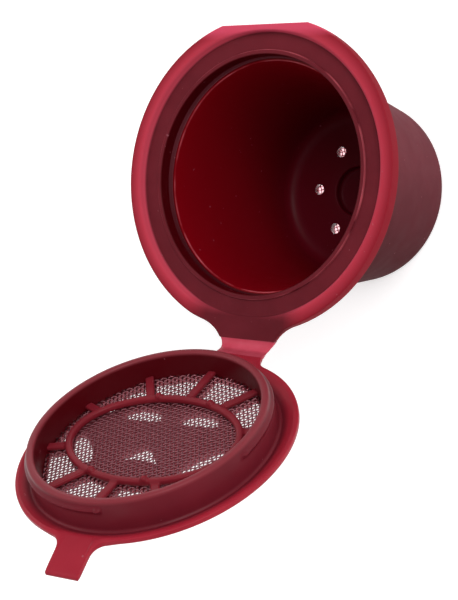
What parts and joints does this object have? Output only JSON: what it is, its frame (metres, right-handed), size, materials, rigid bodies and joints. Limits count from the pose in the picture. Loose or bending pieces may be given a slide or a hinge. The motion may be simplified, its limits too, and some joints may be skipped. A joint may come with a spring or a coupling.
{
  "type": "refillable coffee capsule",
  "caption": "Refillable single-serve coffee capsule: a tapered flanged cup with a drained floor and a hinged snap-in lid with a woven steel filter and a pull tab.",
  "frame": {"origin": "centre of the base's bottom plane, on the cup's axis", "axes": "+Z along the cup's axis out of its mouth; +Y towards the lid's hinge; X across, the model's symmetry direction"},
  "size_m": [0.037, 0.0604, 0.0566],
  "materials": {
    "cup_plastic": "satin, slightly translucent moulded polypropylene",
    "lid_plastic": "satin, slightly translucent moulded polypropylene",
    "hinge_plastic": "satin, thin and translucent",
    "retainer_plastic": "satin moulded polypropylene",
    "filter_steel": "bright woven wire"
  },
  "bodies": {
    "cup": {"cup_body": "cup_plastic", "base_mesh": "filter_steel", "hinge_web": "hinge_plastic"},
    "lid": {"lid_shell": "lid_plastic", "lid_mesh": "filter_steel", "mesh_retainer": "retainer_plastic"}
  },
  "joints": [
    {"name": "lid_hinge", "type": "hinge", "parent": "cup", "child": "lid", "pos_m": [0, 0.0193, 0.025], "axis": [-1, 0, 0], "range_deg": [-122.9, 57.1], "deforming": ["hinge_web"]}
  ]
}
